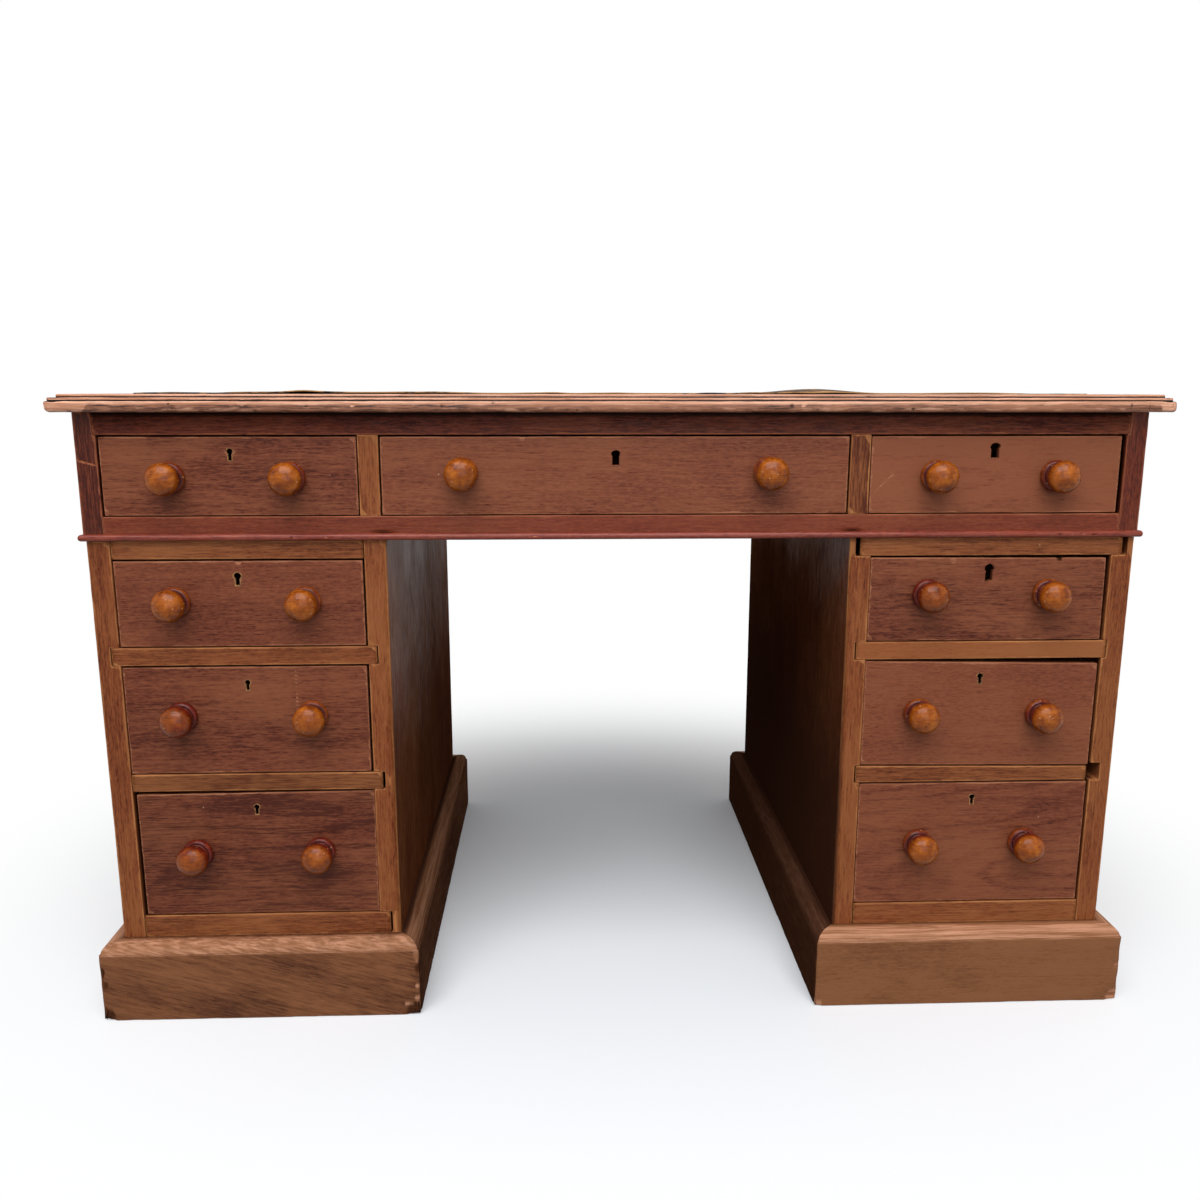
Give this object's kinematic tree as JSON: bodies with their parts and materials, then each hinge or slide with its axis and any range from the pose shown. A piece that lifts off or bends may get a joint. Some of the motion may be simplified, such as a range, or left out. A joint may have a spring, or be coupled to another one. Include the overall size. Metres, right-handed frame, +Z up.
{
  "type": "pedestal desk",
  "caption": "Twin pedestal writing desk: moulded top with a leather inset, frieze drawers over a kneehole, graduated pedestal drawers with turned knobs, moulded plinths.",
  "frame": {"origin": "on the floor, midway along the desk's width and midway between the drawer knobs' tips and the table top's back edge", "axes": "+X along the desk's width, to the sitter's right; +Y from the drawer fronts to the back; +Z up"},
  "size_m": [1.276, 0.701, 0.762],
  "materials": {
    "case_wood": "worn wax on mahogany, vertical grain",
    "rail_wood": "worn wax on mahogany, grain along the rail",
    "front_wood": "worn wax on mahogany, red-brown",
    "top_wood": "rubbed and dented mahogany edge",
    "bead_wood": "red stained bead, satin",
    "plinth_wood": "scuffed mahogany, pale where the top edge is rubbed",
    "knob_wood": "French polished, glossy orange brown",
    "lining_wood": "bare pine and oak, darkened by age",
    "leather": "dark worn skiver with a tooled line",
    "brass": "tarnished",
    "bolt_brass": "rubbed bright"
  },
  "bodies": {
    "case": {"table_top": "top_wood", "writing_leather": "leather", "bead_moulding": "bead_wood", "frieze_carcase": "case_wood", "frieze_rails": "rail_wood", "frieze_partitions": "case_wood", "frieze_runners": "lining_wood", "left_pedestal_sides": "case_wood", "left_pedestal_boards": "lining_wood", "left_pedestal_rails": "rail_wood", "left_plinth": "plinth_wood", "right_pedestal_sides": "case_wood", "right_pedestal_boards": "lining_wood", "right_pedestal_rails": "rail_wood", "right_plinth": "plinth_wood"},
    "upper_left_drawer": {"upper_left_drawer_front": "front_wood", "upper_left_drawer_box": "lining_wood", "upper_left_drawer_knobs": "knob_wood", "upper_left_drawer_lock": "brass"},
    "upper_left_drawer_bolt": {"upper_left_drawer_bolt": "bolt_brass"},
    "upper_centre_drawer": {"upper_centre_drawer_front": "front_wood", "upper_centre_drawer_box": "lining_wood", "upper_centre_drawer_knobs": "knob_wood", "upper_centre_drawer_lock": "brass"},
    "upper_centre_drawer_bolt": {"upper_centre_drawer_bolt": "bolt_brass"},
    "upper_right_drawer": {"upper_right_drawer_front": "front_wood", "upper_right_drawer_box": "lining_wood", "upper_right_drawer_knobs": "knob_wood", "upper_right_drawer_lock": "brass"},
    "upper_right_drawer_bolt": {"upper_right_drawer_bolt": "bolt_brass"},
    "left_top_drawer": {"left_top_drawer_front": "front_wood", "left_top_drawer_box": "lining_wood", "left_top_drawer_knobs": "knob_wood", "left_top_drawer_lock": "brass"},
    "left_top_drawer_bolt": {"left_top_drawer_bolt": "bolt_brass"},
    "left_middle_drawer": {"left_middle_drawer_front": "front_wood", "left_middle_drawer_box": "lining_wood", "left_middle_drawer_knobs": "knob_wood", "left_middle_drawer_lock": "brass"},
    "left_middle_drawer_bolt": {"left_middle_drawer_bolt": "bolt_brass"},
    "left_bottom_drawer": {"left_bottom_drawer_front": "front_wood", "left_bottom_drawer_box": "lining_wood", "left_bottom_drawer_knobs": "knob_wood", "left_bottom_drawer_lock": "brass"},
    "left_bottom_drawer_bolt": {"left_bottom_drawer_bolt": "bolt_brass"},
    "right_top_drawer": {"right_top_drawer_front": "front_wood", "right_top_drawer_box": "lining_wood", "right_top_drawer_knobs": "knob_wood", "right_top_drawer_lock": "brass"},
    "right_top_drawer_bolt": {"right_top_drawer_bolt": "bolt_brass"},
    "right_middle_drawer": {"right_middle_drawer_front": "front_wood", "right_middle_drawer_box": "lining_wood", "right_middle_drawer_knobs": "knob_wood", "right_middle_drawer_lock": "brass"},
    "right_middle_drawer_bolt": {"right_middle_drawer_bolt": "bolt_brass"},
    "right_bottom_drawer": {"right_bottom_drawer_front": "front_wood", "right_bottom_drawer_box": "lining_wood", "right_bottom_drawer_knobs": "knob_wood", "right_bottom_drawer_lock": "brass"},
    "right_bottom_drawer_bolt": {"right_bottom_drawer_bolt": "bolt_brass"}
  },
  "joints": [
    {"name": "upper_left_drawer_slide", "type": "slide", "parent": "case", "child": "upper_left_drawer", "axis": [0, -1, 0], "range_m": [0, 0.4]},
    {"name": "upper_left_drawer_bolt_slide", "type": "slide", "parent": "upper_left_drawer", "child": "upper_left_drawer_bolt", "axis": [0, 0, 1], "range_m": [0, 0.008]},
    {"name": "upper_centre_drawer_slide", "type": "slide", "parent": "case", "child": "upper_centre_drawer", "axis": [0, -1, 0], "range_m": [0, 0.4]},
    {"name": "upper_centre_drawer_bolt_slide", "type": "slide", "parent": "upper_centre_drawer", "child": "upper_centre_drawer_bolt", "axis": [0, 0, 1], "range_m": [0, 0.008]},
    {"name": "upper_right_drawer_slide", "type": "slide", "parent": "case", "child": "upper_right_drawer", "axis": [0, -1, 0], "range_m": [0, 0.4]},
    {"name": "upper_right_drawer_bolt_slide", "type": "slide", "parent": "upper_right_drawer", "child": "upper_right_drawer_bolt", "axis": [0, 0, 1], "range_m": [0, 0.008]},
    {"name": "left_top_drawer_slide", "type": "slide", "parent": "case", "child": "left_top_drawer", "axis": [0, -1, 0], "range_m": [0, 0.4]},
    {"name": "left_top_drawer_bolt_slide", "type": "slide", "parent": "left_top_drawer", "child": "left_top_drawer_bolt", "axis": [0, 0, 1], "range_m": [0, 0.008]},
    {"name": "left_middle_drawer_slide", "type": "slide", "parent": "case", "child": "left_middle_drawer", "axis": [0, -1, 0], "range_m": [0, 0.4]},
    {"name": "left_middle_drawer_bolt_slide", "type": "slide", "parent": "left_middle_drawer", "child": "left_middle_drawer_bolt", "axis": [0, 0, 1], "range_m": [0, 0.008]},
    {"name": "left_bottom_drawer_slide", "type": "slide", "parent": "case", "child": "left_bottom_drawer", "axis": [0, -1, 0], "range_m": [0, 0.4]},
    {"name": "left_bottom_drawer_bolt_slide", "type": "slide", "parent": "left_bottom_drawer", "child": "left_bottom_drawer_bolt", "axis": [0, 0, 1], "range_m": [0, 0.008]},
    {"name": "right_top_drawer_slide", "type": "slide", "parent": "case", "child": "right_top_drawer", "axis": [0, -1, 0], "range_m": [0, 0.4]},
    {"name": "right_top_drawer_bolt_slide", "type": "slide", "parent": "right_top_drawer", "child": "right_top_drawer_bolt", "axis": [0, 0, 1], "range_m": [0, 0.008]},
    {"name": "right_middle_drawer_slide", "type": "slide", "parent": "case", "child": "right_middle_drawer", "axis": [0, -1, 0], "range_m": [0, 0.4]},
    {"name": "right_middle_drawer_bolt_slide", "type": "slide", "parent": "right_middle_drawer", "child": "right_middle_drawer_bolt", "axis": [0, 0, 1], "range_m": [0, 0.008]},
    {"name": "right_bottom_drawer_slide", "type": "slide", "parent": "case", "child": "right_bottom_drawer", "axis": [0, -1, 0], "range_m": [0, 0.4]},
    {"name": "right_bottom_drawer_bolt_slide", "type": "slide", "parent": "right_bottom_drawer", "child": "right_bottom_drawer_bolt", "axis": [0, 0, 1], "range_m": [0, 0.008]}
  ]
}
